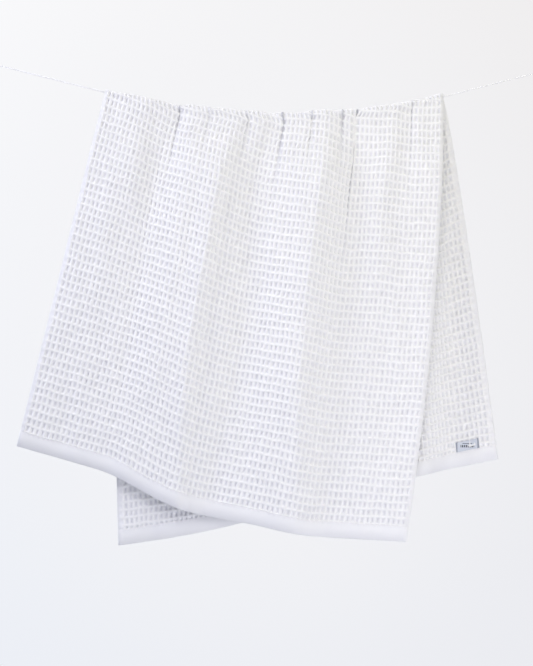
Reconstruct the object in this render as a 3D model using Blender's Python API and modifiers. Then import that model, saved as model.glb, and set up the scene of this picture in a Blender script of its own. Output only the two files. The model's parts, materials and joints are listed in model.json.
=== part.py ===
"""Waffle hand towel hung askew over a thin taut line between two wall eyes.

Metres, +Z up. The towel's front faces -Y. The origin is the middle of the left wall eye's flat back
face, and the line runs from there along +X.

The towel is one sheet. A point of it is named by how far across the towel it lies (0 at the left
selvedge, 1 at the right one) and by its run, the length of cloth between it and the top of the line.
Each panel, front and back, falls from the line to its own hem. Its folds are rows of one table.
"""

import math

import bpy
import numpy as np

COLLECTION_NAME = "hand_towel_on_line"

# Towel, as cut and hemmed.
TOWEL_WIDTH = 0.500
TOWEL_LENGTH = 1.000
TOWEL_THICKNESS = 0.0028
HEM_WIDTH = 0.019

# How much of the length hangs in front, at the left and at the right selvedge.
FRONT_RUN_LEFT = 0.445
FRONT_RUN_RIGHT = 0.549

# Line and the wall eyes that hold it.
SPAN = 0.712
LINE_DIAMETER = 0.0014
LINE_POINTS = 80
LEFT_SLOPE = -0.252
RIGHT_SLOPE = 0.256
RIGHT_EYE_HEIGHT = -0.0097
LOADED_FROM = 0.161
LOADED_TO = 0.576

PLATE_RADIUS = 0.009
PLATE_THICKNESS = 0.0025
STEM_RADIUS = 0.0016
EYE_REACH = 0.0115
RING_RADIUS = 0.0032
RING_WIRE = 0.0020
LOOP_RADIUS = 0.0027
KNOT_HALF_LENGTH = 0.0022
KNOT_RADIUS = 0.0016

# Clearances between solids.
GAP = 0.0003
SEAT_GAP = 0.0004

# Where the side edges of each panel hang: X at the line, X at the hem, and the power of their curve.
EDGES = {
    "front": {"left": (0.1587, 0.0513, 1.00), "right": (0.5722, 0.5263, 1.80)},
    "back": {"left": (0.1587, 0.1739, 1.00), "right": (0.5722, 0.6430, 0.82)},
}

# Height of each panel's hem, a row for each bend in it: across, height.
HEMS = {
    "front": (
        (0.00, -0.4700),
        (0.14, -0.4895),
        (0.23, -0.5026),
        (0.38, -0.5364),
        (0.46, -0.5506),
        (0.62, -0.5658),
        (0.77, -0.5799),
        (1.00, -0.5872),
    ),
    "back": (
        (0.00, -0.5933),
        (0.12, -0.5850),
        (0.25, -0.5730),
        (0.34, -0.5626),
        (0.78, -0.5080),
        (0.88, -0.5005),
        (1.00, -0.4883),
    ),
}

# Folds, a row for each crest or trough. A place is how far across the towel the fold lies and a
# standoff its distance from the line's plane in millimetres. A crease is 0 where the fold is round and
# 1 where the cloth comes to it as steeply as it left the last one.
CREASES = (0.0, 0.2, 0.6, 0.2, 0.5, 0.3, 0.7, 0.6, 0.3, 0.2, 0.2, 0.0, 0.0)
LINE_FOLDS = (
    # place, standoff
    (0.000, 5.0),
    (0.115, 7.5),
    (0.205, 4.3),
    (0.310, 8.0),
    (0.385, 9.0),
    (0.445, 6.5),
    (0.500, 4.8),
    (0.655, 9.0),
    (0.755, 4.3),
    (0.860, 7.0),
    (0.915, 4.5),
    (1.000, 5.0),
    (1.100, 5.0),
)
PANEL_FOLDS = {
    "front": (
        # below the line, halfway down, at the hem
        ((0.000, 9.5), (0.000, 9.0), (0.000, 12.0)),
        ((0.105, 14.0), (0.110, 9.0), (0.110, 9.0)),
        ((0.190, 6.5), (0.205, 9.0), (0.210, 9.5)),
        ((0.300, 21.0), (0.305, 20.0), (0.330, 14.0)),
        ((0.362, 26.0), (0.364, 27.0), (0.425, 18.5)),
        ((0.408, 15.0), (0.425, 16.0), (0.455, 13.0)),
        ((0.465, 6.5), (0.505, 6.5), (0.490, 8.0)),
        ((0.648, 29.0), (0.662, 31.0), (0.720, 20.0)),
        ((0.768, 6.5), (0.785, 8.0), (0.800, 9.5)),
        ((0.840, 14.5), (0.870, 8.5), (0.880, 8.5)),
        ((0.885, 10.5), (0.925, 9.5), (0.935, 8.5)),
        ((1.000, 13.0), (1.000, 12.0), (1.000, 9.0)),
        ((1.100, 14.0), (1.100, 12.0), (1.100, 9.0)),
    ),
    "back": (
        ((0.000, 8.0), (0.000, 7.0), (0.000, 6.5)),
        ((0.113, 15.0), (0.111, 12.0), (0.110, 8.0)),
        ((0.203, 6.5), (0.201, 7.0), (0.200, 6.5)),
        ((0.302, 12.0), (0.287, 11.0), (0.270, 8.0)),
        ((0.385, 19.0), (0.365, 19.0), (0.340, 11.0)),
        ((0.445, 12.0), (0.420, 12.0), (0.385, 9.0)),
        ((0.510, 6.5), (0.485, 6.5), (0.450, 7.0)),
        ((0.660, 19.0), (0.620, 21.0), (0.580, 16.0)),
        ((0.755, 6.5), (0.708, 6.5), (0.660, 8.0)),
        ((0.845, 13.0), (0.783, 13.0), (0.720, 11.0)),
        ((0.900, 6.5), (0.840, 6.5), (0.780, 8.0)),
        ((0.978, 16.0), (0.930, 26.0), (0.885, 32.0)),
        ((1.080, 14.0), (1.038, 22.0), (1.000, 24.0)),
    ),
}
MILLIMETRE = 0.001
STATIONS = (0.0, 0.18, 0.58, 1.0)
SEATED_STANDOFF = 0.0043
ARCH_RISE = 0.5
SIDES = {"front": -1.0, "back": 1.0}

# Woven label on the back panel's inner face, beside its right selvedge and just above the hem.
LABEL_FROM, LABEL_TO = 0.897, 0.957
LABEL_HEIGHT = 0.012
LABEL_THICKNESS = 0.0006

# Mesh divisions.
COLUMNS = 64
ARCH_ROWS = 4
PANEL_ROWS = 17
SPREAD_COLUMNS = 401
SPREAD_ROWS = 61


def smooth_curve(at, knots, values, flat_start=False):
    """Cubic through the knots that never overshoots them. Values may be arrays, one for each knot."""
    knots = np.asarray(knots, float)
    values = np.asarray(values, float)
    widths = np.diff(knots).reshape((-1,) + (1,) * (values.ndim - 1))
    rates = np.diff(values, axis=0) / widths
    slopes = np.zeros_like(values)
    slopes[0] = 0.0 if flat_start else rates[0]
    slopes[-1] = rates[-1]
    same_way = rates[:-1] * rates[1:] > 0.0
    total = np.where(same_way, rates[:-1] + rates[1:], 1.0)
    slopes[1:-1] = np.where(same_way, 2.0 * rates[:-1] * rates[1:] / total, 0.0)
    result = np.zeros(np.broadcast(at, values[0]).shape)
    for k in range(len(knots) - 1):
        width = knots[k + 1] - knots[k]
        share = np.clip((at - knots[k]) / width, 0.0, 1.0)
        piece = (
            (1.0 + 2.0 * share) * (1.0 - share) ** 2 * values[k]
            + share * (1.0 - share) ** 2 * width * slopes[k]
            + share**2 * (3.0 - 2.0 * share) * values[k + 1]
            - share**2 * (1.0 - share) * width * slopes[k + 1]
        )
        inside = at >= knots[k] if k else np.ones_like(at, bool)
        result = np.where(inside, piece, result)
    return result


def wave(across, places, standoffs):
    """Crests and troughs, from round ones to creases. Places and standoffs may be arrays."""
    result = standoffs[0] + np.zeros(across.shape)
    for k in range(len(places) - 1):
        share = np.clip((across - places[k]) / (places[k + 1] - places[k]), 0.0, 1.0)
        leaving, coming = CREASES[k], CREASES[k + 1]
        eased = share**2 * (3.0 - 2.0 * share)
        eased += leaving * share * (1.0 - share) ** 2 - coming * share**2 * (1.0 - share)
        result += (standoffs[k + 1] - standoffs[k]) * eased
    return result


def line_height(x):
    """Height of the line: straight from each eye, and a shallow curve under the towel."""
    left_height = LEFT_SLOPE * (LOADED_FROM - EYE_REACH)
    right_height = RIGHT_EYE_HEIGHT - RIGHT_SLOPE * (SPAN - EYE_REACH - LOADED_TO)
    width = LOADED_TO - LOADED_FROM
    share = np.clip((x - LOADED_FROM) / width, 0.0, 1.0)
    loaded = (
        (1.0 + 2.0 * share) * (1.0 - share) ** 2 * left_height
        + share * (1.0 - share) ** 2 * width * LEFT_SLOPE
        + share**2 * (3.0 - 2.0 * share) * right_height
        - share**2 * (1.0 - share) * width * RIGHT_SLOPE
    )
    before = np.minimum(x - LOADED_FROM, 0.0) * LEFT_SLOPE
    after = np.maximum(x - LOADED_TO, 0.0) * RIGHT_SLOPE
    return loaded + before + after


def panel_run(side, across):
    """Length of cloth from the top of the line to this panel's hem."""
    front = FRONT_RUN_LEFT + (FRONT_RUN_RIGHT - FRONT_RUN_LEFT) * across
    return front if side == "front" else TOWEL_LENGTH - front


def line_standoff(across):
    """How far the cloth stands off beside the line, which front and back share."""
    places, standoffs = zip(*LINE_FOLDS)
    return wave(across, places, standoffs) * MILLIMETRE


def arch_height(across):
    """How far the middle of the cloth passes above the line's centre."""
    seated = LINE_DIAMETER / 2.0 + SEAT_GAP + TOWEL_THICKNESS / 2.0
    return seated + ARCH_RISE * (line_standoff(across) - SEATED_STANDOFF)


def arch_run(across):
    """Length of cloth from the top of its arch down to the line's own height."""
    half_width = line_standoff(across)
    height = arch_height(across)
    return math.pi / 2.0 * np.sqrt((half_width**2 + height**2) / 2.0)


def standoff(side, across, down):
    """Distance of a panel from the line's plane. Down is 0 beside the line and 1 at the hem."""
    places = []
    standoffs = []
    for at_line, below_line in zip(LINE_FOLDS, PANEL_FOLDS[side]):
        place, depth = zip(at_line, *below_line)
        places.append(smooth_curve(down, STATIONS, place))
        standoffs.append(smooth_curve(down, STATIONS, depth, flat_start=True))
    return wave(across, places, standoffs) * MILLIMETRE


def edge_x(side, edge, down):
    """X of a side edge."""
    start, end, power = EDGES[side][edge]
    return start + (end - start) * down**power


def hem_height(side, across):
    """Height of the hem."""
    places, heights = zip(*HEMS[side])
    return smooth_curve(across, places, heights)


def spread_table(side, line_x=None):
    """X of the cloth, so that each row of it keeps its length over the folds between its two edges."""
    across = np.linspace(0.0, 1.0, SPREAD_COLUMNS)[None, :]
    down = np.linspace(0.0, 1.0, SPREAD_ROWS)[:, None]
    if line_x is None:
        line_x = edge_x(side, "left", 0.0) + across * (
            edge_x(side, "right", 0.0) - edge_x(side, "left", 0.0)
        )
    top = line_height(line_x)
    height = top + (hem_height(side, across) - top) * down
    depth = standoff(side, across + 0.0 * down, down + 0.0 * across)
    step = 1.0 / (SPREAD_COLUMNS - 1)
    rise = np.gradient(height, step, axis=1)
    push = np.gradient(depth, step, axis=1)
    smallest = 0.05 * TOWEL_WIDTH**2
    rate = np.sqrt(np.maximum(TOWEL_WIDTH**2 - rise**2 - push**2, smallest))
    reached = np.zeros_like(rate)
    reached[:, 1:] = np.cumsum((rate[:, 1:] + rate[:, :-1]) / 2.0, axis=1)
    reached /= reached[:, -1:]
    left = edge_x(side, "left", down)
    right = edge_x(side, "right", down)
    return left + (right - left) * reached


def make_spreads():
    """The two panels' X tables, settled with the line's own slope and equal where they meet."""
    line_x = None
    for _ in range(3):
        line_x = spread_table("front", line_x)[:1]
    spreads = {side: spread_table(side, line_x) for side in SIDES}
    for table in spreads.values():
        table[0] = line_x
    return spreads


def read_table(table, across, down):
    """Value of an evenly spaced table between its entries."""
    rows, columns = table.shape
    row = np.clip(down, 0.0, 1.0) * (rows - 1)
    column = np.clip(across, 0.0, 1.0) * (columns - 1)
    row_below = np.minimum(row.astype(int), rows - 2)
    column_below = np.minimum(column.astype(int), columns - 2)
    part_row = row - row_below
    part_column = column - column_below
    near = table[row_below, column_below] * (1.0 - part_column)
    near = near + table[row_below, column_below + 1] * part_column
    far = table[row_below + 1, column_below] * (1.0 - part_column)
    far = far + table[row_below + 1, column_below + 1] * part_column
    return near * (1.0 - part_row) + far * part_row


def hang(spreads, side, across, run):
    """Middle of the cloth, as an array of points, at a run from the top of its arch."""
    across, run = np.broadcast_arrays(across, run)
    over = arch_run(across)
    down = np.clip((run - over) / (panel_run(side, across) - over), 0.0, 1.0)
    turn = math.pi / 2.0 * np.clip(run / over, 0.0, 1.0)
    x = read_table(spreads[side], across, down)
    top = line_height(read_table(spreads[side], across, np.zeros_like(down)))
    on_arch = run < over
    y = np.where(on_arch, line_standoff(across) * np.sin(turn), standoff(side, across, down))
    fall = (hem_height(side, across) - top) * down
    z = top + np.where(on_arch, arch_height(across) * np.cos(turn), fall)
    return np.stack([x, SIDES[side] * y, z], axis=-1)


def inner_normal(spreads, side, across, run):
    """Unit normal of a panel on the face that looks at the other panel."""
    small = 0.002
    width_step = small / TOWEL_WIDTH
    over = hang(spreads, side, across + width_step, run) - hang(spreads, side, across - width_step, run)
    down = hang(spreads, side, across, run + small) - hang(spreads, side, across, run - small)
    normal = np.cross(over, down)
    normal /= np.linalg.norm(normal, axis=-1, keepdims=True)
    return normal * np.where(normal[..., 1:2] * SIDES[side] > 0.0, -1.0, 1.0)


def make_collection(name):
    collection = bpy.data.collections.new(name)
    bpy.context.scene.collection.children.link(collection)
    return collection


def make_material(name, colour, roughness, metallic=0.0):
    material = bpy.data.materials.new(name)
    material.use_nodes = True
    shader = material.node_tree.nodes["Principled BSDF"]
    shader.inputs["Base Color"].default_value = (*colour, 1.0)
    shader.inputs["Roughness"].default_value = roughness
    shader.inputs["Metallic"].default_value = metallic
    material.diffuse_color = (*colour, 1.0)
    return material


def finish(item, name, material, collection):
    """Name an object, give it its material and move it to its collection."""
    item.name = name
    item.data.name = name
    item.data.materials.clear()
    item.data.materials.append(material)
    for holder in list(item.users_collection):
        holder.objects.unlink(item)
    collection.objects.link(item)
    return item


def add_sheet(columns, rows, place, thickness):
    """A flat grid of unit size moved to place(across, along) and given its thickness."""
    bpy.ops.mesh.primitive_grid_add(x_subdivisions=columns, y_subdivisions=rows, size=1.0)
    item = bpy.context.object
    vertices = item.data.vertices
    flat = np.empty(len(vertices) * 3, dtype=np.float64)
    vertices.foreach_get("co", flat)
    flat = flat.reshape(-1, 3) + 0.5
    moved = place(np.clip(flat[:, 0], 0.0, 1.0), np.clip(flat[:, 1], 0.0, 1.0))
    vertices.foreach_set("co", moved.ravel())
    item.data.update()
    item.data.shade_smooth()
    solidify = item.modifiers.new("Thickness", "SOLIDIFY")
    solidify.thickness = thickness
    solidify.offset = 0.0
    return item


def towel_runs(side, across, row):
    """Run of a mesh row: a few close rows over the line, then wider ones to the hem."""
    over = arch_run(across)
    on_arch = over * row / ARCH_ROWS
    share = np.maximum(row - ARCH_ROWS, 0.0) / PANEL_ROWS
    below = over + (panel_run(side, across) - over) * (0.4 * share + 0.6 * share**1.6)
    return np.where(row <= ARCH_ROWS, on_arch, below)


def make_towel(spreads, material, collection):
    """The whole towel as one sheet, from the front hem over the line to the back hem."""
    half_rows = ARCH_ROWS + PANEL_ROWS

    def place(across, along):
        row = np.round((along * 2.0 - 1.0) * half_rows)
        front = hang(spreads, "front", across, towel_runs("front", across, np.maximum(-row, 0.0)))
        back = hang(spreads, "back", across, towel_runs("back", across, np.maximum(row, 0.0)))
        return np.where(row[:, None] < 0.0, front, back)

    towel = add_sheet(COLUMNS, 2 * half_rows, place, TOWEL_THICKNESS)
    return finish(towel, "towel", material, collection)


def make_label(spreads, material, collection):
    """A small woven tab that lies along the cloth just above the hem, on the inner face."""
    lift = TOWEL_THICKNESS / 2.0 + GAP + LABEL_THICKNESS / 2.0

    def place(across, along):
        across = LABEL_FROM + (LABEL_TO - LABEL_FROM) * across
        run = panel_run("back", across) - HEM_WIDTH - LABEL_HEIGHT * (1.0 - along)
        normal = inner_normal(spreads, "back", across, run)
        return hang(spreads, "back", across, run) + normal * lift

    label = add_sheet(6, 2, place, LABEL_THICKNESS)
    return finish(label, "label", material, collection)


def line_end(right):
    """Centre of an eye's ring and the way that the line leaves it."""
    slope = RIGHT_SLOPE if right else LEFT_SLOPE
    way = np.array([-1.0 if right else 1.0, 0.0, -slope if right else slope])
    centre = np.array([SPAN - EYE_REACH if right else EYE_REACH, 0.0, RIGHT_EYE_HEIGHT if right else 0.0])
    return centre, way / np.linalg.norm(way)


def loop_reach():
    """Distances from the ring's centre to the loop's centre and to the end of its knot."""
    tube = LINE_DIAMETER / 2.0
    inside = RING_RADIUS - RING_WIRE / 2.0 - GAP - tube
    loop_centre = inside + LOOP_RADIUS
    knot_centre = loop_centre + LOOP_RADIUS + tube
    return loop_centre, knot_centre


def make_line(material, collection):
    """The line as a tube from knot to knot."""
    reach = loop_reach()[1] + KNOT_HALF_LENGTH + GAP
    ends = []
    for right in (False, True):
        centre, way = line_end(right)
        ends.append(centre[0] + way[0] * reach)
    curve = bpy.data.curves.new("line", "CURVE")
    curve.dimensions = "3D"
    curve.bevel_depth = LINE_DIAMETER / 2.0
    curve.bevel_resolution = 2
    curve.use_fill_caps = True
    spline = curve.splines.new("POLY")
    spline.points.add(LINE_POINTS - 1)
    for point, x in zip(spline.points, np.linspace(*ends, LINE_POINTS)):
        point.co = (x, 0.0, float(line_height(x)), 1.0)
    item = bpy.data.objects.new("line", curve)
    bpy.context.scene.collection.objects.link(item)
    return finish(item, "line", material, collection)


def join_solids(name, solids):
    """Unite overlapping primitives in one solid, with the first one's origin."""
    base = solids[0]
    for other in solids[1:]:
        union = base.modifiers.new("Union", "BOOLEAN")
        union.operation = "UNION"
        union.solver = "EXACT"
        union.object = other
        evaluated = base.evaluated_get(bpy.context.evaluated_depsgraph_get())
        mesh = bpy.data.meshes.new_from_object(evaluated)
        base.modifiers.clear()
        base.data = mesh
        bpy.data.objects.remove(other)
    base.data.shade_smooth()
    base.data.set_sharp_from_angle(angle=math.radians(40.0))
    base.name = name
    return base


def add_rod(radius, start, end, vertices=32):
    """A cylinder along X."""
    bpy.ops.mesh.primitive_cylinder_add(
        vertices=vertices,
        radius=radius,
        depth=end - start,
        location=((start + end) / 2.0, 0.0, 0.0),
        rotation=(0.0, math.pi / 2.0, 0.0),
    )
    bpy.ops.object.transform_apply(location=True, rotation=True)
    return bpy.context.object


def make_eye(name, right, material, collection):
    """A wall eye: a round plate, a short stem and a ring that stands upright."""
    inside_plate = PLATE_THICKNESS / 2.0
    inside_ring = EYE_REACH - RING_RADIUS + RING_WIRE / 8.0
    plate = add_rod(PLATE_RADIUS, 0.0, PLATE_THICKNESS, vertices=40)
    stem = add_rod(STEM_RADIUS, inside_plate, inside_ring, vertices=16)
    bpy.ops.mesh.primitive_torus_add(
        major_radius=RING_RADIUS,
        minor_radius=RING_WIRE / 2.0,
        major_segments=28,
        minor_segments=10,
        location=(EYE_REACH, 0.0, 0.0),
        rotation=(math.pi / 2.0, 0.0, 0.0),
    )
    bpy.ops.object.transform_apply(location=True, rotation=True)
    eye = join_solids(name, [plate, stem, bpy.context.object])
    if right:
        eye.location = (SPAN, 0.0, RIGHT_EYE_HEIGHT)
        eye.rotation_euler = (0.0, 0.0, math.pi)
    return finish(eye, name, material, collection)


def make_loop(name, right, material, collection):
    """The line's end: a loop through the eye, closed by its knot."""
    loop_centre, knot_centre = loop_reach()
    bpy.ops.mesh.primitive_torus_add(
        major_radius=LOOP_RADIUS,
        minor_radius=LINE_DIAMETER / 2.0,
        major_segments=24,
        minor_segments=8,
        location=(loop_centre, 0.0, 0.0),
    )
    bpy.ops.object.transform_apply(location=True)
    loop = bpy.context.object
    bpy.ops.mesh.primitive_uv_sphere_add(
        segments=16,
        ring_count=10,
        radius=1.0,
        location=(knot_centre, 0.0, 0.0),
        rotation=(0.0, math.pi / 2.0, 0.0),
        scale=(KNOT_RADIUS, KNOT_RADIUS, KNOT_HALF_LENGTH),
    )
    bpy.ops.object.transform_apply(location=True, rotation=True, scale=True)
    item = join_solids(name, [loop, bpy.context.object])
    centre, way = line_end(right)
    item.location = centre
    item.rotation_euler = (0.0, math.atan2(-way[2], way[0]), 0.0)
    return finish(item, name, material, collection)


def clear_scene():
    for item in list(bpy.data.objects):
        bpy.data.objects.remove(item)


def main():
    clear_scene()
    collection = make_collection(COLLECTION_NAME)
    cotton = make_material("white_cotton", (0.90, 0.90, 0.91), 0.95)
    cord = make_material("white_cord", (0.88, 0.88, 0.87), 0.70)
    tape = make_material("grey_label_tape", (0.62, 0.66, 0.72), 0.80)
    steel = make_material("zinc_steel", (0.70, 0.70, 0.70), 0.35, metallic=1.0)
    spreads = make_spreads()
    make_towel(spreads, cotton, collection)
    make_label(spreads, tape, collection)
    make_line(cord, collection)
    for side in ("left", "right"):
        make_eye(f"wall_eye_{side}", side == "right", steel, collection)
        make_loop(f"line_loop_{side}", side == "right", cord, collection)


main()
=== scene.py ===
"""Looks of the hand towel that hangs askew over a taut line.

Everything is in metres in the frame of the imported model: the line runs along +X from the left wall
eye, +Z is up and the towel's front faces -Y. The towel is rebuilt here as a fine two-sided sheet with
its waffle cells, on the same folds as its CAD solid.

A place on the flat cloth is u across it from the left selvedge and v along it from the front hem.
Across is u as a share of the towel's width. A run is the length of cloth between a place and the top
of the line.
"""

import json
import math

import bpy
import numpy as np
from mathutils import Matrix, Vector


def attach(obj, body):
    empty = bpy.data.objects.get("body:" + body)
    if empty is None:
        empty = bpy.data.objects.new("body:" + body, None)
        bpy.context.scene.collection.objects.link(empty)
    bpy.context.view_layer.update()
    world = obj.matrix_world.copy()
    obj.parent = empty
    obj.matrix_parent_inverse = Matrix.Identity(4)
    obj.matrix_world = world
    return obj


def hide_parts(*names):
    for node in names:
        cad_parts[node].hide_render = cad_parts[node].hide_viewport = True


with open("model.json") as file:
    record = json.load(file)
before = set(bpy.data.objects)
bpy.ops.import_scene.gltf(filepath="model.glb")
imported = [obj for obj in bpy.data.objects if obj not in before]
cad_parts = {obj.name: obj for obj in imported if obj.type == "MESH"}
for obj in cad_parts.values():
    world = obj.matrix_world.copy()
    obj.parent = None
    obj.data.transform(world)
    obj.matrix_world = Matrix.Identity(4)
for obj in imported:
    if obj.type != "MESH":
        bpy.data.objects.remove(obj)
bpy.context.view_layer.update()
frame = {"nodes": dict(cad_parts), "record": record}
MOUNTS = {mount["name"]: mount for mount in frame["record"]["mounts"]}

# Towel, as cut and hemmed.
TOWEL_WIDTH = 0.500
TOWEL_LENGTH = 1.000
TOWEL_THICKNESS = 0.0028
HEM_WIDTH = 0.019
SELVEDGE = 0.0045
FRONT_RUN_LEFT = 0.445
FRONT_RUN_RIGHT = 0.549

# Waffle cells, and the lines of mesh points in one: place in the cell, and how far the rib rises there.
CELLS_ACROSS = 78
CELLS_ALONG = 102
RIB_LINES = ((0.08, 1.0), (0.50, 0.0), (0.92, 1.0))
RIDGE_LINES = ((0.08, 1.0), (0.36, 0.0), (0.64, 0.0), (0.92, 1.0))

# Line and its ends.
SPAN = MOUNTS["right_wall_face"]["pos_m"][0]
RIGHT_EYE_HEIGHT = MOUNTS["right_wall_face"]["pos_m"][2]
LINE_DIAMETER = 0.0014
LINE_POINTS = 80
LEFT_SLOPE = -0.252
RIGHT_SLOPE = 0.256
LOADED_FROM = 0.161
LOADED_TO = 0.576
EYE_REACH = 0.0115
RING_RADIUS = 0.0032
RING_WIRE = 0.0020
LOOP_RADIUS = 0.0027
KNOT_HALF_LENGTH = 0.0022
GAP = 0.0003
SEAT_GAP = 0.0004

# Woven label on the back panel's inner face: its middle across the towel, how far across to each side
# of that its slope is read, and its height.
LABEL_MIDDLE = 0.927
LABEL_PROBE = 0.02
LABEL_HEIGHT = 0.012

# Marks on the label, from its middle: where its darker ends start, the thin rule, and the row of plain
# blocks with the level of their bands over which a block is dark.
LABEL_END = 0.0122
RULE_HALF = 0.0060
RULE_HEIGHTS = (0.0018, 0.0026)
BLOCKS_HALF = 0.0084
BLOCK_HEIGHTS = (-0.0026, 0.0004)
BLOCK_PITCH = 0.0024
BLOCK_LEVEL = 0.25

# Where the side edges of each panel hang: X at the line, X at the hem, and the power of their curve.
EDGES = {
    "front": {"left": (0.1587, 0.0513, 1.00), "right": (0.5722, 0.5263, 1.80)},
    "back": {"left": (0.1587, 0.1739, 1.00), "right": (0.5722, 0.6430, 0.82)},
}

# Height of each panel's hem, a row for each bend in it: across, height.
HEMS = {
    "front": (
        (0.00, -0.4700),
        (0.14, -0.4895),
        (0.23, -0.5026),
        (0.38, -0.5364),
        (0.46, -0.5506),
        (0.62, -0.5658),
        (0.77, -0.5799),
        (1.00, -0.5872),
    ),
    "back": (
        (0.00, -0.5933),
        (0.12, -0.5850),
        (0.25, -0.5730),
        (0.34, -0.5626),
        (0.78, -0.5080),
        (0.88, -0.5005),
        (1.00, -0.4883),
    ),
}

# Folds, a row for each crest or trough. A place is how far across the towel the fold lies and a
# standoff its distance from the line's plane in millimetres. A crease is 0 where the fold is round and
# 1 where the cloth comes to it as steeply as it left the last one.
CREASES = (0.0, 0.2, 0.6, 0.2, 0.5, 0.3, 0.7, 0.6, 0.3, 0.2, 0.2, 0.0, 0.0)
LINE_FOLDS = (
    # place, standoff
    (0.000, 5.0),
    (0.115, 7.5),
    (0.205, 4.3),
    (0.310, 8.0),
    (0.385, 9.0),
    (0.445, 6.5),
    (0.500, 4.8),
    (0.655, 9.0),
    (0.755, 4.3),
    (0.860, 7.0),
    (0.915, 4.5),
    (1.000, 5.0),
    (1.100, 5.0),
)
PANEL_FOLDS = {
    "front": (
        # below the line, halfway down, at the hem
        ((0.000, 9.5), (0.000, 9.0), (0.000, 12.0)),
        ((0.105, 14.0), (0.110, 9.0), (0.110, 9.0)),
        ((0.190, 6.5), (0.205, 9.0), (0.210, 9.5)),
        ((0.300, 21.0), (0.305, 20.0), (0.330, 14.0)),
        ((0.362, 26.0), (0.364, 27.0), (0.425, 18.5)),
        ((0.408, 15.0), (0.425, 16.0), (0.455, 13.0)),
        ((0.465, 6.5), (0.505, 6.5), (0.490, 8.0)),
        ((0.648, 29.0), (0.662, 31.0), (0.720, 20.0)),
        ((0.768, 6.5), (0.785, 8.0), (0.800, 9.5)),
        ((0.840, 14.5), (0.870, 8.5), (0.880, 8.5)),
        ((0.885, 10.5), (0.925, 9.5), (0.935, 8.5)),
        ((1.000, 13.0), (1.000, 12.0), (1.000, 9.0)),
        ((1.100, 14.0), (1.100, 12.0), (1.100, 9.0)),
    ),
    "back": (
        ((0.000, 8.0), (0.000, 7.0), (0.000, 6.5)),
        ((0.113, 15.0), (0.111, 12.0), (0.110, 8.0)),
        ((0.203, 6.5), (0.201, 7.0), (0.200, 6.5)),
        ((0.302, 12.0), (0.287, 11.0), (0.270, 8.0)),
        ((0.385, 19.0), (0.365, 19.0), (0.340, 11.0)),
        ((0.445, 12.0), (0.420, 12.0), (0.385, 9.0)),
        ((0.510, 6.5), (0.485, 6.5), (0.450, 7.0)),
        ((0.660, 19.0), (0.620, 21.0), (0.580, 16.0)),
        ((0.755, 6.5), (0.708, 6.5), (0.660, 8.0)),
        ((0.845, 13.0), (0.783, 13.0), (0.720, 11.0)),
        ((0.900, 6.5), (0.840, 6.5), (0.780, 8.0)),
        ((0.978, 16.0), (0.930, 26.0), (0.885, 32.0)),
        ((1.080, 14.0), (1.038, 22.0), (1.000, 24.0)),
    ),
}
MILLIMETRE = 0.001

# Where down a panel those folds lie: beside the line, below it, halfway and at the hem.
STATIONS = (0.0, 0.18, 0.58, 1.0)

# Standoff at which the cloth sits on the line, and how much of any more standoff its arch rises.
SEATED_STANDOFF = 0.0043
ARCH_RISE = 0.5

# Which way along Y each panel stands off.
SIDES = {"front": -1.0, "back": 1.0}

# Narrow tucks that run down from the line and fade: across, depth in mm, half width across, reach.
TUCKS = (
    (0.221, 6.0, 0.008, 0.065),
    (0.310, 2.0, 0.008, 0.050),
    (0.421, 4.5, 0.006, 0.050),
    (0.525, 6.0, 0.006, 0.070),
    (0.611, 5.5, 0.006, 0.050),
    (0.702, 5.5, 0.006, 0.050),
    (0.746, 5.5, 0.006, 0.120),
    (0.910, 2.5, 0.008, 0.060),
)
DEEPEST_TUCK = max(depth for _, depth, _, _ in TUCKS)

# How much of that depth a panel has, how far below the line it is reached, and how round a tuck is.
TUCK_SHARE = {"front": 1.0, "back": 0.3}
TUCK_START = 0.006
TUCK_ROUNDING = 0.05

# The painted shade at the dark bottom of a tuck: half its width across, and how far it darkens the
# cotton.
CREASE_HALF = 0.0026
CREASE_SHADE_STRENGTH = 2.2

# Tables of the cloth's X: their size, how often the row on the line is worked out anew, and the least
# share of its squared width that a row of cloth keeps.
SPREAD_COLUMNS = 801
SPREAD_ROWS = 121
SETTLING_ROUNDS = 3
LEAST_SPREAD = 0.05


# ---------------------------------------------------------------- drape


def smooth_step(share):
    """From 0 to 1 with a level start and end."""
    return share**2 * (3.0 - 2.0 * share)


def cubic(share, width, start, start_slope, end, end_slope):
    """Cubic between two values with a slope at each. Share is 0 at the start and 1 at the end."""
    return (
        (1.0 + 2.0 * share) * (1.0 - share) ** 2 * start
        + share * (1.0 - share) ** 2 * width * start_slope
        + smooth_step(share) * end
        - share**2 * (1.0 - share) * width * end_slope
    )


def smooth_curve(at, knots, values, flat_start=False):
    """Cubics through the knots that never overshoot them. Values may be arrays, one for each knot."""
    knots = np.asarray(knots, float)
    values = np.asarray(values, float)
    widths = np.diff(knots).reshape((-1,) + (1,) * (values.ndim - 1))
    rates = np.diff(values, axis=0) / widths
    slopes = np.zeros_like(values)
    slopes[0] = 0.0 if flat_start else rates[0]
    slopes[-1] = rates[-1]
    same_way = rates[:-1] * rates[1:] > 0.0
    total = np.where(same_way, rates[:-1] + rates[1:], 1.0)
    slopes[1:-1] = np.where(same_way, 2.0 * rates[:-1] * rates[1:] / total, 0.0)
    result = np.zeros(np.broadcast(at, values[0]).shape)
    for k in range(len(knots) - 1):
        width = knots[k + 1] - knots[k]
        share = np.clip((at - knots[k]) / width, 0.0, 1.0)
        piece = cubic(share, width, values[k], slopes[k], values[k + 1], slopes[k + 1])
        inside = at >= knots[k] if k else np.ones_like(at, bool)
        result = np.where(inside, piece, result)
    return result


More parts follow.
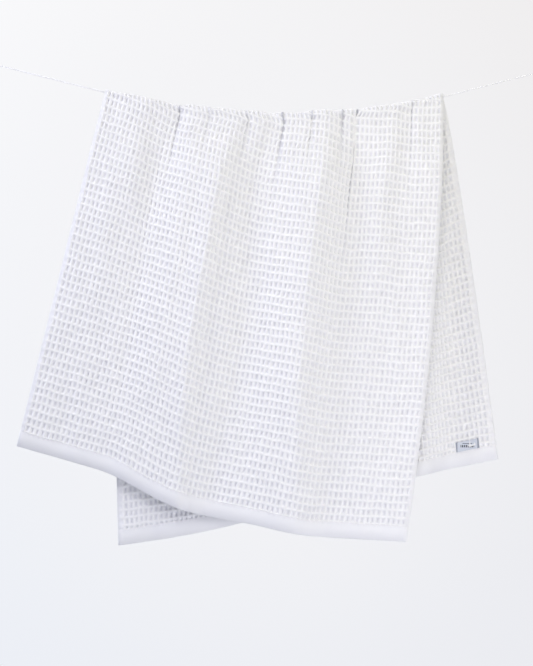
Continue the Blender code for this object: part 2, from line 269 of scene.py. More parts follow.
def wave(across, places, standoffs):
    """Crests and troughs, from round ones to creases. Places and standoffs may be arrays."""
    result = standoffs[0] + np.zeros(across.shape)
    for k in range(len(places) - 1):
        share = np.clip((across - places[k]) / (places[k + 1] - places[k]), 0.0, 1.0)
        leaving = CREASES[k] * share * (1.0 - share) ** 2
        coming = CREASES[k + 1] * share**2 * (1.0 - share)
        result += (standoffs[k + 1] - standoffs[k]) * (smooth_step(share) + (leaving - coming))
    return result


def line_height(x):
    """Height of the line: straight from each eye, and a shallow curve under the towel."""
    left_height = LEFT_SLOPE * (LOADED_FROM - EYE_REACH)
    right_height = RIGHT_EYE_HEIGHT - RIGHT_SLOPE * (SPAN - EYE_REACH - LOADED_TO)
    width = LOADED_TO - LOADED_FROM
    share = np.clip((x - LOADED_FROM) / width, 0.0, 1.0)
    loaded = cubic(share, width, left_height, LEFT_SLOPE, right_height, RIGHT_SLOPE)
    before = np.minimum(x - LOADED_FROM, 0.0) * LEFT_SLOPE
    after = np.maximum(x - LOADED_TO, 0.0) * RIGHT_SLOPE
    return loaded + before + after


def panel_run(side, across):
    """Length of cloth from the top of the line to this panel's hem."""
    front = FRONT_RUN_LEFT + (FRONT_RUN_RIGHT - FRONT_RUN_LEFT) * across
    return front if side == "front" else TOWEL_LENGTH - front


def line_standoff(across):
    """How far the cloth stands off beside the line, which front and back share."""
    places, standoffs = zip(*LINE_FOLDS)
    return wave(across, places, standoffs) * MILLIMETRE


def arch_height(across):
    """How far the middle of the cloth passes above the line's centre."""
    seated = LINE_DIAMETER / 2.0 + SEAT_GAP + TOWEL_THICKNESS / 2.0
    return seated + ARCH_RISE * (line_standoff(across) - SEATED_STANDOFF)


def arch_run(across):
    """Length of cloth from the top of its arch down to the line's own height."""
    half_width = line_standoff(across)
    height = arch_height(across)
    return math.pi / 2.0 * np.sqrt((half_width**2 + height**2) / 2.0)


def tucks(across, run_below):
    """Depth of the narrow tucks, which start just under the line."""
    start = smooth_step(np.clip(run_below / TUCK_START, 0.0, 1.0))
    total = np.zeros(np.broadcast(across, run_below).shape)
    for place, depth, half_width, reach in TUCKS:
        shape = np.exp(-np.sqrt(((across - place) / half_width) ** 2 + TUCK_ROUNDING))
        total += depth * MILLIMETRE * shape * np.exp(-((run_below / reach) ** 2))
    return total * start


def crease_shade(u, v):
    """How much painted shade darkens the cotton at the bottom of a tuck, from 0 to 1."""
    across = u / TOWEL_WIDTH
    run = panel_run("front", across) - v
    total = np.zeros(u.shape)
    for place, depth, _, reach in TUCKS:
        crease = np.exp(-(((across - place) / CREASE_HALF) ** 2))
        total += depth / DEEPEST_TUCK * crease * np.exp(-((run / reach) ** 2))
    return np.clip(total, 0.0, 1.0) * (run > 0.0)


def standoff(side, across, down):
    """Distance of a panel from the line's plane. Down is 0 beside the line and 1 at the hem."""
    places = []
    standoffs = []
    for at_line, below_line in zip(LINE_FOLDS, PANEL_FOLDS[side]):
        place, depth = zip(at_line, *below_line)
        places.append(smooth_curve(down, STATIONS, place))
        standoffs.append(smooth_curve(down, STATIONS, depth, flat_start=True))
    fall = panel_run(side, across) - arch_run(across)
    tuck = tucks(across, down * fall) * TUCK_SHARE[side]
    return wave(across, places, standoffs) * MILLIMETRE - tuck


def edge_x(side, edge, down):
    """X of a side edge."""
    start, end, power = EDGES[side][edge]
    return start + (end - start) * down**power


def hem_height(side, across):
    """Height of the hem."""
    places, heights = zip(*HEMS[side])
    return smooth_curve(across, places, heights)


def spread_table(side, line_x=None):
    """X of the cloth, so that each row of it keeps its length over the folds between its two edges."""
    across = np.linspace(0.0, 1.0, SPREAD_COLUMNS)[None, :]
    down = np.linspace(0.0, 1.0, SPREAD_ROWS)[:, None]
    if line_x is None:
        start = edge_x(side, "left", 0.0)
        line_x = start + across * (edge_x(side, "right", 0.0) - start)
    top = line_height(line_x)
    height = top + (hem_height(side, across) - top) * down
    depth = standoff(side, across + 0.0 * down, down + 0.0 * across)
    step = 1.0 / (SPREAD_COLUMNS - 1)
    rise = np.gradient(height, step, axis=1)
    push = np.gradient(depth, step, axis=1)
    smallest = LEAST_SPREAD * TOWEL_WIDTH**2
    rate = np.sqrt(np.maximum(TOWEL_WIDTH**2 - rise**2 - push**2, smallest))
    reached = np.zeros_like(rate)
    reached[:, 1:] = np.cumsum((rate[:, 1:] + rate[:, :-1]) / 2.0, axis=1)
    reached /= reached[:, -1:]
    left = edge_x(side, "left", down)
    right = edge_x(side, "right", down)
    return left + (right - left) * reached


def make_spreads():
    """The two panels' X tables, settled with the line's own slope and equal where they meet."""
    line_x = None
    for _ in range(SETTLING_ROUNDS):
        line_x = spread_table("front", line_x)[:1]
    spreads = {side: spread_table(side, line_x) for side in SIDES}
    for table in spreads.values():
        table[0] = line_x
    return spreads


def read_table(table, across, down):
    """Value of an evenly spaced table between its entries."""
    rows, columns = table.shape
    row = np.clip(down, 0.0, 1.0) * (rows - 1)
    column = np.clip(across, 0.0, 1.0) * (columns - 1)
    row_below = np.minimum(row.astype(int), rows - 2)
    column_below = np.minimum(column.astype(int), columns - 2)
    part_row = row - row_below
    part_column = column - column_below
    near = table[row_below, column_below] * (1.0 - part_column)
    near = near + table[row_below, column_below + 1] * part_column
    far = table[row_below + 1, column_below] * (1.0 - part_column)
    far = far + table[row_below + 1, column_below + 1] * part_column
    return near * (1.0 - part_row) + far * part_row


def hang(spreads, side, across, run):
    """Middle of the cloth, as an array of points, at a run from the top of its arch."""
    across, run = np.broadcast_arrays(across, run)
    over = arch_run(across)
    down = np.clip((run - over) / (panel_run(side, across) - over), 0.0, 1.0)
    turn = math.pi / 2.0 * np.clip(run / over, 0.0, 1.0)
    x = read_table(spreads[side], across, down)
    top = line_height(read_table(spreads[side], across, np.zeros_like(down)))
    on_arch = run < over
    y = np.where(on_arch, line_standoff(across) * np.sin(turn), standoff(side, across, down))
    fall = (hem_height(side, across) - top) * down
    z = top + np.where(on_arch, arch_height(across) * np.cos(turn), fall)
    return np.stack([x, SIDES[side] * y, z], axis=-1)


def cloth_middle(spreads, u, v):
    """Middle of the hung cloth, for places on the flat one."""
    across = u / TOWEL_WIDTH
    front_run = panel_run("front", across)
    front = hang(spreads, "front", across, np.maximum(front_run - v, 0.0))
    back = hang(spreads, "back", across, np.maximum(v - front_run, 0.0))
    return np.where((v < front_run)[..., None], front, back)


# ---------------------------------------------------------------- waffle sheet

# Height of a face over the cloth's middle, in millimetres. Ribs run along the towel and ridges across
# it. Each woven point is uneven, at random, by up to the last value.
CROSSING = 1.75
RIDGE = 1.60
RIB = 1.55
PIT = -0.95
SELVEDGE_HALF = 0.80
HEM_HALF = 1.10
UNEVEN = 0.06
UNEVEN_SEEDS = {"towel_cloth": 11, "towel_reverse": 12}

# Width of the strip in which a face turns down to the middle of the cloth, all round the towel.
RIM = 0.0004

# Rows of mesh points on a hem: how far from its edge, and how many millimetres its face rolls up there.
HEM_ROWS = (
    (0.0, 0.0),
    (RIM, 0.0),
    (HEM_WIDTH - 0.004, 0.15),
    (HEM_WIDTH - 0.001, -0.15),
)

# How far a rib rises where the cells end at the plain border, and the least share of a cell that a line
# of points keeps from there.
BORDER_RISE = 0.5
BORDER_SHARE = 0.05

# Soft unevenness: its wavelengths, and what the sum of its waves is divided by. Then the size and seed
# with which it moves the cells across and along the flat cloth in metres, and out of it in millimetres.
WAVELENGTHS = (0.021, 0.034, 0.047, 0.060, 0.083, 0.110, 0.150)
WAVE_SUM = 3.0
DRIFT_ACROSS = (0.0005, 3)
DRIFT_ALONG = (0.0006, 4)
PUCKER = (0.7, 5)


def unit(vectors):
    """Vectors of the same directions and of length 1."""
    return vectors / np.linalg.norm(vectors, axis=-1, keepdims=True)


def link(name, data):
    """A new object of the scene."""
    item = bpy.data.objects.new(name, data)
    bpy.context.scene.collection.objects.link(item)
    return item


def cell_lines(lines, count, start, end, shift):
    """Places of the lines of points in a row of cells from start to end, and how far a rib rises there.

    The first and last line lie on the plain border. Shift moves the cells along by a share of one."""
    cell = (end - start) / count
    margin = BORDER_SHARE * cell
    places = [start]
    rises = [BORDER_RISE]
    for k in range(-1, count + 1):
        for phase, rise in lines:
            place = start + cell * (k + phase + shift)
            if start + margin < place < end - margin:
                places.append(place)
                rises.append(rise)
    return np.array([*places, end]), np.array([*rises, BORDER_RISE])


def relief(across_rise, along_rise):
    """Height of one face over the cloth's middle, in millimetres, for each point of the weave."""
    rib = PIT + (RIB - PIT) * across_rise[None, :]
    ridge = PIT + (RIDGE - PIT) * along_rise[:, None]
    crossing = (CROSSING - RIDGE) * across_rise[None, :] * along_rise[:, None]
    return np.maximum(rib, ridge) + crossing


def wander(u, v, size, seed):
    """Soft unevenness of the cloth, the same for both of its faces: a few waves that lie at random."""
    rng = np.random.default_rng(seed)
    total = np.zeros(u.shape)
    for wavelength in WAVELENGTHS:
        turn, phase = rng.uniform(0.0, 2.0 * math.pi, 2)
        total += np.sin(2.0 * math.pi / wavelength * (u * math.cos(turn) + v * math.sin(turn)) + phase)
    return size * total / WAVE_SUM


def face_triangles(index, height):
    """Two triangles for each square of a grid, parted along its diagonal with the larger fall.

    A square's corners are a, b, c and d, in turn."""
    low, high = slice(None, -1), slice(1, None)
    corners = ((low, low), (low, high), (high, high), (high, low))
    fall = np.abs(height[corners[0]] - height[corners[2]])
    other_fall = np.abs(height[corners[1]] - height[corners[3]])
    steeper = (fall > other_fall)[..., None]
    a, b, c, d = (index[corner] for corner in corners)
    one = np.where(steeper, np.stack([a, b, c], -1), np.stack([a, b, d], -1))
    other = np.where(steeper, np.stack([a, c, d], -1), np.stack([b, c, d], -1))
    return np.stack([one, other], axis=2).reshape(-1, 3)


def add_face(name, points, height, painted_lightness, plain, uv, inward):
    """One face of the cloth as a grid of triangles. Plain squares are smooth.

    Its points keep how far up from the pits they are, lowered at the bottom of tucks, which sets how
    much painted shade darkens the cotton."""
    rows, columns = points.shape[:2]
    index = np.arange(rows * columns).reshape(rows, columns)
    faces = face_triangles(index, height)
    if inward:
        faces = faces[:, ::-1]
    is_plain = np.repeat(plain.ravel(), 2)
    mesh = bpy.data.meshes.new(name)
    mesh.vertices.add(rows * columns)
    mesh.vertices.foreach_set("co", points.ravel())
    mesh.loops.add(faces.size)
    mesh.loops.foreach_set("vertex_index", faces.ravel())
    mesh.polygons.add(len(faces))
    mesh.polygons.foreach_set("loop_start", np.arange(0, faces.size, 3))
    mesh.polygons.foreach_set("use_smooth", is_plain)
    mesh.polygons.foreach_set("material_index", is_plain.astype(np.int32))
    mesh.update(calc_edges=True)
    layer = mesh.uv_layers.new(name="cloth")
    layer.uv.foreach_set("vector", uv.reshape(-1, 2)[faces.ravel()].ravel())
    raised = mesh.attributes.new("raised", "FLOAT", "POINT")
    raised.data.foreach_set("value", painted_lightness.ravel())
    return link(name, mesh)


def face_height(across_woven, along_woven, across_rise, along_rise, seed):
    """Height of one face over the cloth's middle, in millimetres, for each point of the mesh."""
    height = np.full((len(along_woven), len(across_woven)), HEM_HALF)
    height[:, ~across_woven] = SELVEDGE_HALF
    for row, (_, roll) in enumerate(HEM_ROWS):
        height[[row, -1 - row], :] = HEM_HALF + roll
    height[np.ix_(along_woven, across_woven)] = relief(across_rise, along_rise)
    rng = np.random.default_rng(seed)
    woven = across_woven[None, :] & along_woven[:, None]
    return height + UNEVEN * rng.uniform(-1.0, 1.0, height.shape) * woven


def build_face(spreads, name, materials, inward):
    """The towel's outer or inner face, from hem to hem. Its edge lies in the middle of the cloth."""
    shift = 0.5 if inward else 0.0
    woven_right = TOWEL_WIDTH - SELVEDGE
    woven_end = TOWEL_LENGTH - HEM_WIDTH
    across, across_rise = cell_lines(RIB_LINES, CELLS_ACROSS, SELVEDGE, woven_right, shift)
    along, along_rise = cell_lines(RIDGE_LINES, CELLS_ALONG, HEM_WIDTH, woven_end, shift)
    across = np.concatenate([[0.0, RIM], across, [TOWEL_WIDTH - RIM, TOWEL_WIDTH]])
    hem_rows = np.array([place for place, _ in HEM_ROWS])
    along = np.concatenate([hem_rows, along, (TOWEL_LENGTH - hem_rows)[::-1]])
    across_woven = (across > SELVEDGE - RIM) & (across < woven_right + RIM)
    along_woven = (along > HEM_WIDTH - RIM) & (along < woven_end + RIM)
    height = face_height(across_woven, along_woven, across_rise, along_rise, UNEVEN_SEEDS[name])
    woven = across_woven[None, :] & along_woven[:, None]
    edge = np.ones(height.shape, bool)
    edge[1:-1, 1:-1] = False

    u = across[None, :] + np.zeros(height.shape)
    v = along[:, None] + np.zeros(height.shape)
    moved_u = u + wander(u, v, *DRIFT_ACROSS) * woven
    moved_v = v + wander(u, v, *DRIFT_ALONG) * woven
    middle = cloth_middle(spreads, moved_u, moved_v)
    normal = unit(np.cross(np.gradient(middle, across, axis=1), np.gradient(middle, along, axis=0)))
    outward = np.where(edge, 0.0, -height if inward else height)
    points = middle + normal * ((outward + wander(u, v, *PUCKER)) * MILLIMETRE)[..., None]

    # Painted shade: the lower a point lies in a pit, the darker its cotton, and darker still at the
    # bottom of a tuck.
    painted_lightness = np.clip((height - PIT) / (HEM_HALF - PIT), 0.0, 1.0)
    painted_lightness = painted_lightness - CREASE_SHADE_STRENGTH * crease_shade(u, v)
    plain = ~(woven[:-1, :-1] & woven[1:, 1:])
    face = add_face(name, points, height, painted_lightness, plain, np.stack([moved_u, moved_v], axis=-1), inward)
    for material in materials:
        face.data.materials.append(material)
    return face


# ---------------------------------------------------------------- hem stitches

# One stitch, the distance between two, and how far their row keeps from the weave and the selvedges.
# Stray is how far each is out of its place, at random, and blunt how thick it is at its tips.
STITCH_PITCH = 0.0034
STITCH_LENGTH = 0.0026
STITCH_WIDTH = 0.00050
STITCH_RISE = 0.00022
STITCH_FROM_WEAVE = 0.0022
STITCH_FROM_SIDE = 0.003
STITCH_STRAY = 0.0002
STITCH_SEED = 21
STITCH_SIDES = 8
STITCH_RINGS = 5
STITCH_BLUNT = 0.02

# How far to each side the cloth is looked at to find its directions.
PROBE = 0.0005


def face_frame(spreads, u, v, way):
    """Points on the plain hem's face, with the directions across, along and out of the cloth."""
    across = unit(cloth_middle(spreads, u + PROBE, v) - cloth_middle(spreads, u - PROBE, v))
    along = unit(cloth_middle(spreads, u, v + PROBE) - cloth_middle(spreads, u, v - PROBE))
    normal = unit(np.cross(across, along))
    height = (way * HEM_HALF + wander(u, v, *PUCKER)) * MILLIMETRE
    return cloth_middle(spreads, u, v) + normal * height[..., None], across, along, way * normal


def build_stitches(spreads, material):
    """A row of short raised stitches along the inner side of each hem, on both faces."""
    turn = np.linspace(0.0, 2.0 * math.pi, STITCH_SIDES, endpoint=False)
    climb = np.linspace(-1.0, 1.0, STITCH_RINGS)[:, None]
    girth = np.sqrt(1.0 - climb**4) + STITCH_BLUNT
    shape = np.stack(
        [
            STITCH_LENGTH / 2.0 * climb + 0.0 * turn,
            STITCH_WIDTH / 2.0 * girth * np.cos(turn),
            STITCH_RISE * girth * np.sin(turn),
        ],
        axis=-1,
    ).reshape(-1, 3)
    corner = np.arange(STITCH_RINGS * STITCH_SIDES).reshape(STITCH_RINGS, STITCH_SIDES)
    after = np.roll(corner, -1, axis=1)
    quads = np.stack([corner[:-1], after[:-1], after[1:], corner[1:]], axis=-1).reshape(-1, 4)
    places = np.arange(STITCH_FROM_SIDE, TOWEL_WIDTH - STITCH_FROM_SIDE, STITCH_PITCH)
    inset = HEM_WIDTH - STITCH_FROM_WEAVE
    rng = np.random.default_rng(STITCH_SEED)
    stitches = []
    for v in (inset, TOWEL_LENGTH - inset):
        for way in (1.0, -1.0):
            u = places + rng.uniform(-STITCH_STRAY, STITCH_STRAY, places.shape)
            centre, across, along, out = face_frame(spreads, u, np.full(u.shape, v), way)
            basis = np.stack([across, along, out], axis=1)
            stitches.extend(centre[:, None, :] + np.einsum("kc,ncd->nkd", shape, basis))
    faces = [quads + len(shape) * k for k in range(len(stitches))]
    mesh = bpy.data.meshes.new("hem_stitches")
    mesh.from_pydata(np.concatenate(stitches).tolist(), [], np.concatenate(faces).tolist())
    mesh.shade_smooth()
    mesh.materials.append(material)
    return link("hem_stitches", mesh)


# ---------------------------------------------------------------- materials

# Distance between the bands of a wave texture whose scale is 1.
BAND_REPEAT = math.pi / 10.0


class NodeTree:
    """A node tree, with short calls to add its nodes and join them."""

    def __init__(self, tree):
        self.tree = tree

    def set(self, node, socket, value):
        """Join a socket to another node's output, or give it a value. A colour may have three parts."""
        entry = node.inputs[socket]
        if isinstance(value, bpy.types.NodeSocket):
            self.tree.links.new(value, entry)
        elif entry.type == "RGBA":
            entry.default_value = (*value, 1.0)
        else:
            entry.default_value = value

    def add(self, kind, output, sockets, **settings):
        """Add a node and give back one of its outputs."""
        node = self.tree.nodes.new("ShaderNode" + kind)
        for name, value in settings.items():
            setattr(node, name, value)
        for socket, value in sockets.items():
            self.set(node, socket, value)
        return node.outputs[output]

    def mix(self, factor, first, second):
        """Blend of two colours."""
        sockets = {"Factor": factor, "A": first, "B": second}
        return self.add("Mix", "Result", sockets, data_type="RGBA")


class Shading(NodeTree):
    """A material of one shader, with patterns for its colour and bump."""

    def __init__(self, name, colour, roughness):
        self.material = bpy.data.materials.new(name)
        self.material.use_nodes = True
        self.material.diffuse_color = (*colour, 1.0)
        super().__init__(self.material.node_tree)
        self.shader = self.tree.nodes["Principled BSDF"]
        self.coat({"Base Color": colour, "Roughness": roughness})

    def coat(self, sockets):
        """Set or join sockets of the shader."""
        for socket, value in sockets.items():
            self.set(self.shader, socket, value)

    def work_out(self, operation, first, second=0.0):
        """Result of one sum."""
        return self.add("Math", 0, {0: first, 1: second}, operation=operation)

    def weigh(self, first, first_share, second, second_share):
        """Sum of two patterns, each with its share."""
        first = self.work_out("MULTIPLY", first, first_share)
        return self.work_out("ADD", first, self.work_out("MULTIPLY", second, second_share))

    def between(self, value, low, high):
        """1 where a value is between two others, and 0 elsewhere."""
        over = self.work_out("GREATER_THAN", value, low)
        return self.work_out("MULTIPLY", over, self.work_out("LESS_THAN", value, high))

    def noise(self, where, scale, detail):
        """Cloudy pattern."""
        return self.add("TexNoise", "Fac", {"Vector": where, "Scale": scale, "Detail": detail})

    def bands(self, where, axis, pitch, distortion):
        """Bands across an axis, a pitch apart."""
        scale = BAND_REPEAT / pitch
        sockets = {"Vector": where, "Scale": scale, "Distortion": distortion, "Detail Scale": 2.0}
        return self.add("TexWave", "Fac", sockets, bands_direction=axis)

    def weave(self, where, pitch, distortion):
        """Threads both ways, the higher one on top."""
        warp = self.bands(where, "X", pitch, distortion)
        weft = self.bands(where, "Y", pitch, distortion)
        return self.work_out("MAXIMUM", warp, weft)

    def bump(self, height, strength, distance):
        """Relief that the shader only pretends."""
        sockets = {"Height": height, "Strength": strength, "Distance": distance}
        self.coat({"Normal": self.add("Bump", "Normal", sockets)})


# Cotton on the waffle and on the plain hems and selvedges: its threads, their shaded side, the painted
# shade in the bottoms of the pits, the distance between threads and the strength of their bump.
COTTONS = {
    "waffle_cotton": ((0.985, 0.982, 0.975), (0.94, 0.937, 0.93), (0.82, 0.82, 0.845), 0.00055, 0.4),
    "plain_cotton": ((0.965, 0.965, 0.965), (0.915, 0.915, 0.925), (0.915, 0.915, 0.925), 0.00040, 0.3),
}

# Painted shade at the dark bottom of a tuck, put in place of the cotton's colour.
CREASE_PAINTED_SHADE = (0.50, 0.50, 0.53)

# How much a cotton's threads bend, and how deep they are as a share of the distance between them.
THREAD_BEND = 0.6
THREAD_DEPTH = 0.35

# Distances between the bands of thread, cord and tape.
STITCH_TWIST = 0.0006
CORD_TWIST = 0.0008
LABEL_THREADS = 0.0004

# Scales of noise, in spots to the metre.
LINT = 1400.0
BLOTCHES = 90.0
CORD_FIBRES = 5000.0
ZINC_CLOUDS = 350.0
ZINC_MARKS = 4000.0
PAPER_GRAIN = 60.0


def cotton_material(name):
    """Woven cotton in the cloth's own metres: threads both ways, lint, and painted shade in the pits.

    The painted shade follows how far up a point is: 0 in a pit, 1 on a rib, and under 0 in a tuck,
    where the crease's painted shade takes over."""
    colour, shade, pit_shade, pitch, strength = COTTONS[name]
    cotton = Shading(name, colour, roughness=0.9)
    where = cotton.add("UVMap", "UV", {}, uv_map="cloth")
    threads = cotton.weave(where, pitch, THREAD_BEND)
    lint = cotton.noise(where, LINT, detail=4.0)
    height = cotton.weigh(threads, 0.7, lint, 0.6)
    cotton.bump(height, strength, distance=THREAD_DEPTH * pitch)
    blotches = cotton.noise(where, BLOTCHES, detail=3.0)
    worn = cotton.weigh(blotches, 0.6, lint, 0.4)
    surface = cotton.mix(worn, shade, colour)
    raised = cotton.add("Attribute", "Fac", {}, attribute_name="raised")
    # Painted shade in the pits: the colour goes towards the pit shade the lower a point lies.
    with_pit_shade = cotton.mix(raised, pit_shade, surface)
    # Painted shade at the bottom of a tuck, where the value falls under 0.
    out_of_crease_shade = cotton.work_out("ADD", raised, 1.0)
    cotton.coat({"Base Color": cotton.mix(out_of_crease_shade, CREASE_PAINTED_SHADE, with_pit_shade)})
    cotton.coat({"Sheen Weight": 0.15, "Sheen Roughness": 0.6, "Specular IOR Level": 0.2})
    return cotton.material


def thread_material():
    """Twisted sewing thread."""
    thread = Shading("sewing_thread", (0.93, 0.93, 0.94), roughness=0.6)
    where = thread.add("TexCoord", "Object", {})
    twist = thread.bands(where, "DIAGONAL", STITCH_TWIST, distortion=0.4)
    thread.bump(twist, strength=0.4, distance=0.0001)
    thread.coat({"Base Color": thread.mix(twist, (0.86, 0.87, 0.89), (0.94, 0.94, 0.95))})
    return thread.material


def cord_material():
    """White cord: slanting strands along X, with loose fibres."""
    cord = Shading("white_cord", (0.97, 0.97, 0.97), roughness=0.4)
    where = cord.add("TexCoord", "Object", {})
    strands = cord.bands(where, "DIAGONAL", CORD_TWIST, distortion=0.3)
    fibres = cord.noise(where, CORD_FIBRES, detail=3.0)
    height = cord.work_out("ADD", strands, cord.work_out("MULTIPLY", fibres, 0.4))
    cord.bump(height, strength=0.3, distance=0.00008)
    cord.coat({"Base Color": cord.mix(strands, (0.95, 0.95, 0.96), (0.99, 0.99, 0.99))})
    cord.coat({"Sheen Weight": 1.0, "Sheen Roughness": 0.3})
    return cord.material


def zinc_material():
    """Satin zinc: cloudy plating and fine draw marks."""
    zinc = Shading("zinc_steel", (0.72, 0.73, 0.75), roughness=0.35)
    where = zinc.add("TexCoord", "Object", {})
    cloud = zinc.noise(where, ZINC_CLOUDS, detail=5.0)
    marks = zinc.noise(where, ZINC_MARKS, detail=2.0)
    zinc.coat({"Metallic": 1.0})
    zinc.coat({"Base Color": zinc.mix(cloud, (0.60, 0.61, 0.64), (0.80, 0.80, 0.81))})
    zinc.coat({"Roughness": zinc.work_out("ADD", zinc.work_out("MULTIPLY", cloud, 0.25), 0.24)})
    zinc.bump(zinc.work_out("ADD", marks, cloud), strength=0.15, distance=0.0001)
    return zinc.material


def label_material(spreads):
    """Woven tape with darker ends, a ruled line and a row of plain blocks in place of any lettering."""
    run = panel_run("back", LABEL_MIDDLE) - HEM_WIDTH - LABEL_HEIGHT / 2.0
    beside = np.array([LABEL_MIDDLE - LABEL_PROBE, LABEL_MIDDLE + LABEL_PROBE])
    ends = hang(spreads, "back", beside, run)
    way = unit(ends[1] - ends[0])
    up = unit(np.cross([0.0, -1.0, 0.0], way))
    tape = Shading("label_tape", (0.66, 0.70, 0.77), roughness=0.8)
    where = tape.add("TexCoord", "Object", {})
    sockets = {0: where, 1: tuple(ends.mean(axis=0))}
    offset = tape.add("VectorMath", "Vector", sockets, operation="SUBTRACT")
    along = tape.add("VectorMath", "Value", {0: offset, 1: tuple(way)}, operation="DOT_PRODUCT")
    above = tape.add("VectorMath", "Value", {0: offset, 1: tuple(up)}, operation="DOT_PRODUCT")
    place = tape.add("CombineXYZ", "Vector", {"X": along, "Y": above})
    threads = tape.weave(place, LABEL_THREADS, distortion=0.2)
    tape.bump(threads, strength=0.5, distance=0.0001)
    ground = tape.mix(threads, (0.58, 0.62, 0.70), (0.74, 0.77, 0.83))
    is_end = tape.work_out("GREATER_THAN", tape.work_out("ABSOLUTE", along), LABEL_END)
    ground = tape.mix(is_end, ground, (0.36, 0.39, 0.46))
    across_rule = tape.between(along, -RULE_HALF, RULE_HALF)
    rule = tape.work_out("MULTIPLY", tape.between(above, *RULE_HEIGHTS), across_rule)
    across_blocks = tape.between(along, -BLOCKS_HALF, BLOCKS_HALF)
    row = tape.work_out("MULTIPLY", tape.between(above, *BLOCK_HEIGHTS), across_blocks)
    bands = tape.bands(place, "X", BLOCK_PITCH, distortion=0.0)
    blocks = tape.work_out("GREATER_THAN", bands, BLOCK_LEVEL)
    marks = tape.work_out("MAXIMUM", rule, tape.work_out("MULTIPLY", row, blocks))
    tape.coat({"Base Color": tape.mix(marks, ground, (0.10, 0.11, 0.14))})
    return tape.material


def paper_material():
    """Pale floor paper with a faint grain."""
    paper = Shading("floor_paper", (0.92, 0.92, 0.925), roughness=0.9)
    where = paper.add("TexCoord", "Object", {})
    grain = paper.noise(where, PAPER_GRAIN, detail=6.0)
    paper.bump(grain, strength=0.1, distance=0.001)
    paper.coat({"Base Color": paper.mix(grain, (0.90, 0.90, 0.905), (0.94, 0.94, 0.945))})
    return paper.material


# ---------------------------------------------------------------- stage

# The view: its middle, the camera's distance from the line's plane, and the height that it shows of a
# plane this far in front of the line's.
VIEW_X = 0.3559
VIEW_Z = -0.3320
VIEW_DISTANCE = 2.2
VIEW_HEIGHT = 0.8132
VIEW_PLANE = 0.008

# What the camera sees behind the towel: colours at the corners of its view and at its middle, half the
# view's size at a distance of 1, and how far out from the middle the corners' colours are reached.
# Painted light on the backdrop: brightest at the top left, darker towards the right and the bottom, and
# bluer at the bottom left.
BACKDROP = {
    "top_left": (0.947, 0.947, 0.965),
    "top_right": (0.871, 0.858, 0.863),
    "bottom_left": (0.839, 0.863, 0.921),
    "bottom_right": (0.831, 0.839, 0.879),
    "middle": (0.905, 0.905, 0.925),
}
BACKDROP_HALF_WIDTH = 0.148
BACKDROP_HALF_HEIGHT = 0.185
BACKDROP_REACH = 0.7

# Even light from all round.
FILL = (0.287, 0.296, 0.350)

# Soft lights round the towel: metres away, degrees off its front, degrees round its front from the
# right, width, watts and colour.
LIGHT_TARGET = (0.33, 0.0, -0.33)
LIGHTS = {
    "far_upper_left": (2.5, 72, 135, 1.0, 15.9, (0.93, 0.93, 1.00)),
    "far_above": (2.5, 72, 90, 1.0, 5.6, (1.00, 1.00, 0.96)),
    "near_left": (1.0, 72, 157, 0.4, 2.18, (0.79, 0.81, 1.00)),
    "near_top": (1.0, 25, 90, 0.4, 2.06, (1.00, 0.97, 0.93)),
    "near_lower_right": (1.0, 55, 315, 0.4, 2.15, (0.98, 0.97, 1.00)),
    "near_upper_right": (1.0, 55, 45, 0.4, 0.92, (1.00, 0.96, 0.50)),
    "near_right": (1.0, 25, 0, 0.4, 0.92, (1.00, 0.95, 1.00)),
    "below": (0.8, 72, 270, 0.3, 0.15, (0.71, 0.76, 1.00)),
    "close_right": (0.7, 49, 358, 0.2, 0.08, (1.00, 0.98, 1.00)),
    "close_lower_left": (0.68, 48, 236, 0.2, 0.13, (0.58, 0.70, 1.00)),
    "behind_above": (2.0, 122, 90, 1.2, 12.0, (1.00, 1.00, 1.00)),
    "behind_left": (2.2, 128, 165, 1.2, 7.0, (0.96, 0.98, 1.00)),
    "behind_right": (2.2, 135, 15, 1.2, 5.0, (1.00, 1.00, 1.00)),
}

# A disc for a floor.
FLOOR_RADIUS = 1.3
FLOOR_THICKNESS = 0.01
FLOOR_MIDDLE = (0.356, 0.0, -1.505)
FLOOR_SIDES = 96


def make_camera():
    """The camera, straight in front of the towel."""
    camera = bpy.data.cameras.new("camera")
    camera.lens = camera.sensor_width * (VIEW_DISTANCE - VIEW_PLANE) / VIEW_HEIGHT
    item = link("camera", camera)
    item.location = (VIEW_X, -VIEW_DISTANCE, VIEW_Z)
    item.rotation_euler = (math.pi / 2.0, 0.0, 0.0)
    bpy.context.scene.camera = item


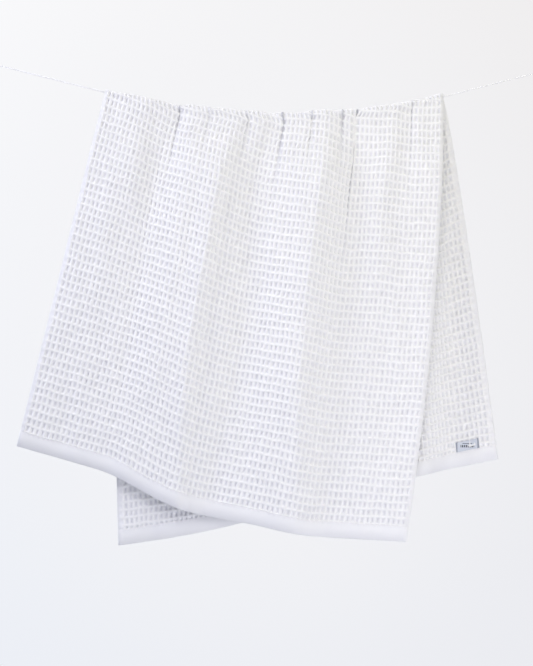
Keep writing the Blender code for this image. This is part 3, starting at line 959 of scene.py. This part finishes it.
def make_world():
    """A dim even fill for the towel, and a pale backdrop with painted light, brightest at its top left,
    that only the camera sees.
    """
    bpy.context.scene.view_settings.view_transform = "Standard"
    world = bpy.data.worlds.new("studio")
    bpy.context.scene.world = world
    world.use_nodes = True
    studio = NodeTree(world.node_tree)
    fill = world.node_tree.nodes["Background"]
    studio.set(fill, "Color", FILL)
    way = studio.add("TexCoord", "Generated", {})
    parts = studio.add("SeparateXYZ", "X", {0: way}).node.outputs

    def share(part, half):
        sockets = {"Value": part, "From Min": -half, "From Max": half}
        return studio.add("MapRange", "Result", sockets)

    across = share(parts["X"], BACKDROP_HALF_WIDTH)
    up = share(parts["Z"], BACKDROP_HALF_HEIGHT)
    bottom = studio.mix(across, BACKDROP["bottom_left"], BACKDROP["bottom_right"])
    top = studio.mix(across, BACKDROP["top_left"], BACKDROP["top_right"])
    place = studio.add("CombineXYZ", 0, {"X": across, "Y": up})
    offset = studio.add("VectorMath", "Value", {0: place, 1: (0.5, 0.5, 0.0)}, operation="DISTANCE")
    sockets = {"Value": offset, "From Max": BACKDROP_REACH}
    reach = studio.add("MapRange", "Result", sockets, interpolation_type="SMOOTHSTEP")
    # Painted light: the corner colours of the backdrop, blended towards its middle colour.
    colour = studio.mix(reach, BACKDROP["middle"], studio.mix(up, bottom, top))
    seen = studio.add("Background", 0, {"Color": colour})
    by_camera = studio.add("LightPath", "Is Camera Ray", {})
    chosen = studio.add("MixShader", 0, {0: by_camera, 1: fill.outputs[0], 2: seen})
    studio.set(world.node_tree.nodes["World Output"], "Surface", chosen)


def make_lights():
    """Soft round lights that face the towel and that the camera doesn't see."""
    for name, (distance, off, round_from, size, watts, colour) in LIGHTS.items():
        off, round_from = math.radians(off), math.radians(round_from)
        beside = math.sin(off) * math.cos(round_from)
        above = math.sin(off) * math.sin(round_from)
        way = Vector((beside, -math.cos(off), above))
        light = bpy.data.lights.new(name, "AREA")
        light.shape = "DISK"
        light.size = size
        light.energy = watts
        light.color = colour
        item = link(name, light)
        item.location = Vector(LIGHT_TARGET) + way * distance
        item.rotation_euler = way.to_track_quat("Z", "Y").to_euler()
        item.visible_camera = False


def make_floor():
    """A round pale floor, well below the towel."""
    bpy.ops.mesh.primitive_cylinder_add(
        vertices=FLOOR_SIDES, radius=FLOOR_RADIUS, depth=FLOOR_THICKNESS, location=FLOOR_MIDDLE
    )
    floor = bpy.context.object
    floor.name = "floor"
    floor.data.materials.append(paper_material())


# ---------------------------------------------------------------- line


def line_end(right):
    """Centre of an eye's ring, and the direction in which the line leaves it."""
    if right:
        centre = np.array([SPAN - EYE_REACH, 0.0, RIGHT_EYE_HEIGHT])
        way = np.array([-1.0, 0.0, -RIGHT_SLOPE])
    else:
        centre = np.array([EYE_REACH, 0.0, 0.0])
        way = np.array([1.0, 0.0, LEFT_SLOPE])
    return centre, unit(way)


def build_line(material):
    """The line from knot to knot, as a curve, with its points and its length."""
    tube = LINE_DIAMETER / 2.0
    inside = RING_RADIUS - RING_WIRE / 2.0 - GAP - tube
    reach = inside + 2.0 * LOOP_RADIUS + tube + KNOT_HALF_LENGTH + GAP
    (left_centre, left_way), (right_centre, right_way) = line_end(False), line_end(True)
    left = left_centre + left_way * reach
    right = right_centre + right_way * reach
    xs = np.linspace(left[0], right[0], LINE_POINTS)
    points = np.stack([xs, np.zeros_like(xs), line_height(xs)], axis=1)
    curve = bpy.data.curves.new("line_cord", "CURVE")
    curve.dimensions = "3D"
    curve.bevel_depth = tube
    curve.bevel_resolution = 4
    curve.use_fill_caps = True
    spline = curve.splines.new("POLY")
    spline.points.add(LINE_POINTS - 1)
    for point, place in zip(spline.points, points):
        point.co = (*place, 1.0)
    curve.materials.append(material)
    length = float(np.linalg.norm(np.diff(points, axis=0), axis=1).sum())
    return link("line_cord", curve), points, length


# ---------------------------------------------------------------- the object

make_camera()
make_world()
make_lights()
make_floor()

spreads = make_spreads()
cottons = [cotton_material(name) for name in COTTONS]
white_cord = cord_material()
zinc = zinc_material()
tape = label_material(spreads)

towel = build_face(spreads, "towel_cloth", cottons, inward=False)
reverse = build_face(spreads, "towel_reverse", cottons, inward=True)
for face in (towel, reverse):
    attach(face, "root")
    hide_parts("towel")

stitches = build_stitches(spreads, thread_material())
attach(stitches, "root")

line, line_points, line_length = build_line(white_cord)
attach(line, "root")
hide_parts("line")

nodes = frame["nodes"]
carried_over = {
    "label": tape,
    "line_loop_left": white_cord,
    "line_loop_right": white_cord,
    "wall_eye_left": zinc,
    "wall_eye_right": zinc,
}
for name, material in carried_over.items():
    nodes[name].data.materials.clear()
    nodes[name].data.materials.append(material)
